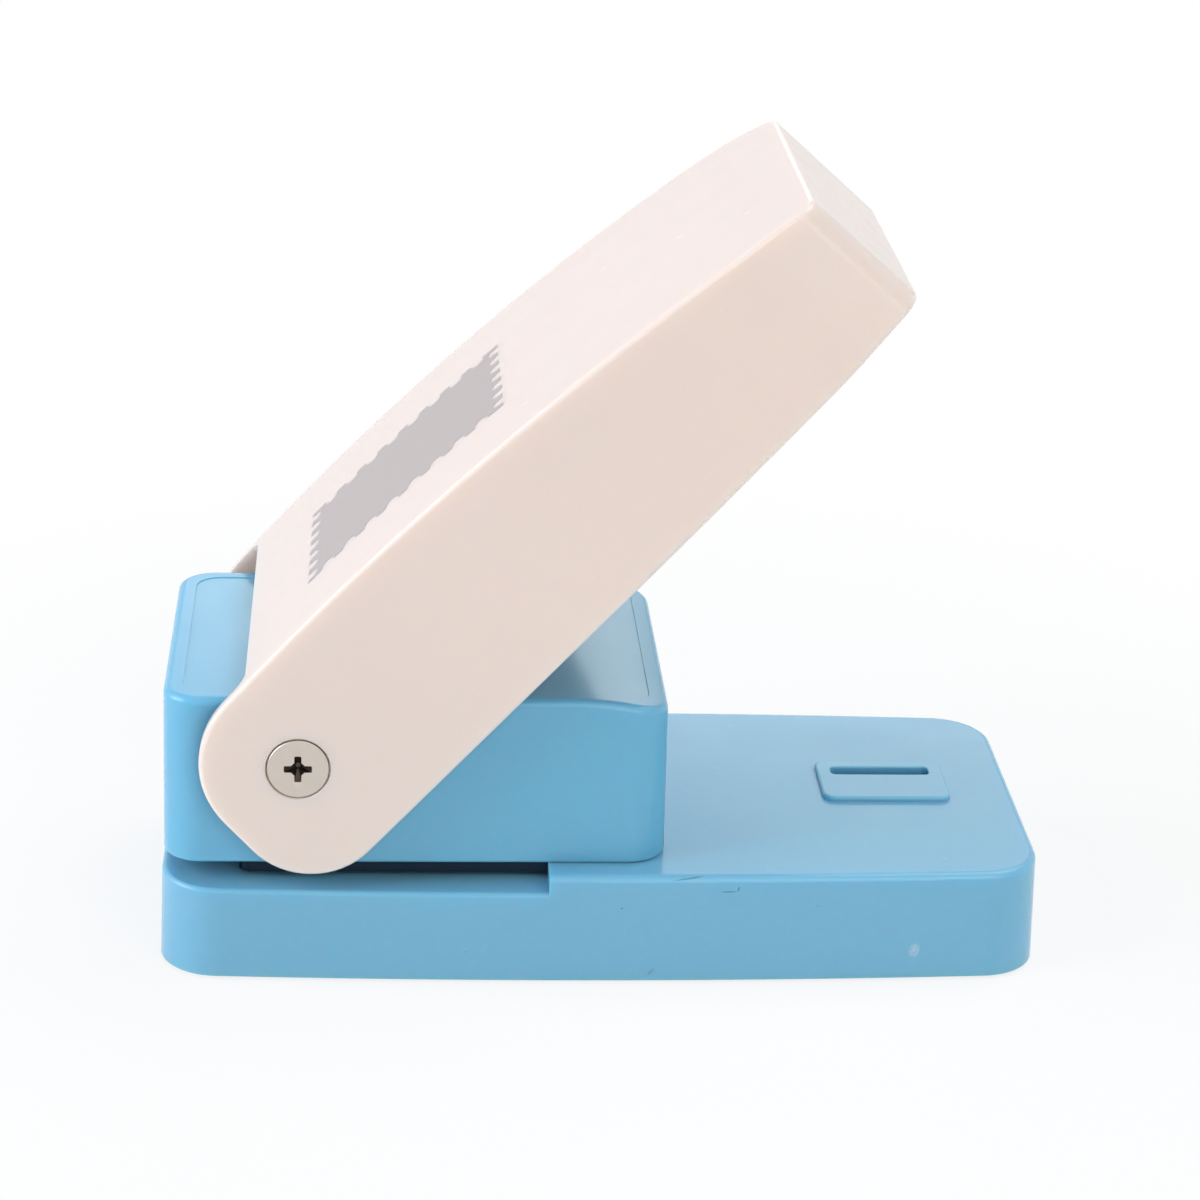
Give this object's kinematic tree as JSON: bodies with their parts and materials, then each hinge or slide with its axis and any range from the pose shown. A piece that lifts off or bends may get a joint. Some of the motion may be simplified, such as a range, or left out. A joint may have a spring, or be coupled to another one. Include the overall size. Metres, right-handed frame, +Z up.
{
  "type": "postage stamp punch",
  "caption": "Desk punch that cuts a stamp outline with perforated edges out of paper: base with paper throat, housing with punch and die, and a hinged lever.",
  "frame": {"origin": "middle of the rectangle round the whole punch, on the table under its feet", "axes": "+X along the base towards the free end of the lever, +Y away from the viewer, +Z up; the lever is raised"},
  "size_m": [0.1412, 0.0662, 0.1261],
  "materials": {
    "base_plastic": "gloss",
    "housing_plastic": "gloss",
    "cover_plastic": "matte",
    "lever_plastic": "gloss",
    "foot_rubber": "matte",
    "tool_steel": "ground",
    "pressed_steel": "zinc plated",
    "screw_steel": "nickel plated",
    "spring_steel": "drawn wire",
    "bush_brass": "turned",
    "pad_plastic": "matte"
  },
  "bodies": {
    "base": {"base_shell": "base_plastic", "bottom_cover": "cover_plastic", "bottom_screws": "screw_steel", "rubber_feet": "foot_rubber", "die_plate": "tool_steel", "die_screws": "screw_steel", "throat_spacer": "pressed_steel", "guide_plate": "tool_steel", "stack_screws": "screw_steel", "housing": "housing_plastic", "housing_screws": "screw_steel", "axle_bush_front": "bush_brass", "axle_bush_rear": "bush_brass", "guide_post_1": "tool_steel", "return_spring_1": "spring_steel", "guide_post_2": "tool_steel", "return_spring_2": "spring_steel", "guide_post_3": "tool_steel", "return_spring_3": "spring_steel", "guide_post_4": "tool_steel", "return_spring_4": "spring_steel"},
    "lever": {"lever": "lever_plastic", "pivot_axle": "tool_steel", "pivot_screws": "screw_steel", "cam": "pressed_steel", "cam_pin": "tool_steel"},
    "punch": {"stamp_punch": "tool_steel", "punch_carriage": "pressed_steel", "punch_screws": "screw_steel", "wear_pad": "pad_plastic", "slide_bushes": "bush_brass"}
  },
  "joints": [
    {"name": "lever_hinge", "type": "hinge", "parent": "base", "child": "lever", "pos_m": [-0.0484, 0, 0.0366], "axis": [0, 1, 0], "range_deg": [0, 45], "stiffness_Nm_per_rad": 0.36, "springref_deg": -17.76},
    {"name": "punch_slide", "type": "slide", "parent": "base", "child": "punch", "axis": [0, 0, -1], "range_m": [0, 0.00501], "deforming": ["return_spring_1", "return_spring_2", "return_spring_3", "return_spring_4"]}
  ],
  "couplings": [
    {"joint": "punch_slide", "follows": "lever_hinge", "m_per_rad": 0.0063662}
  ]
}
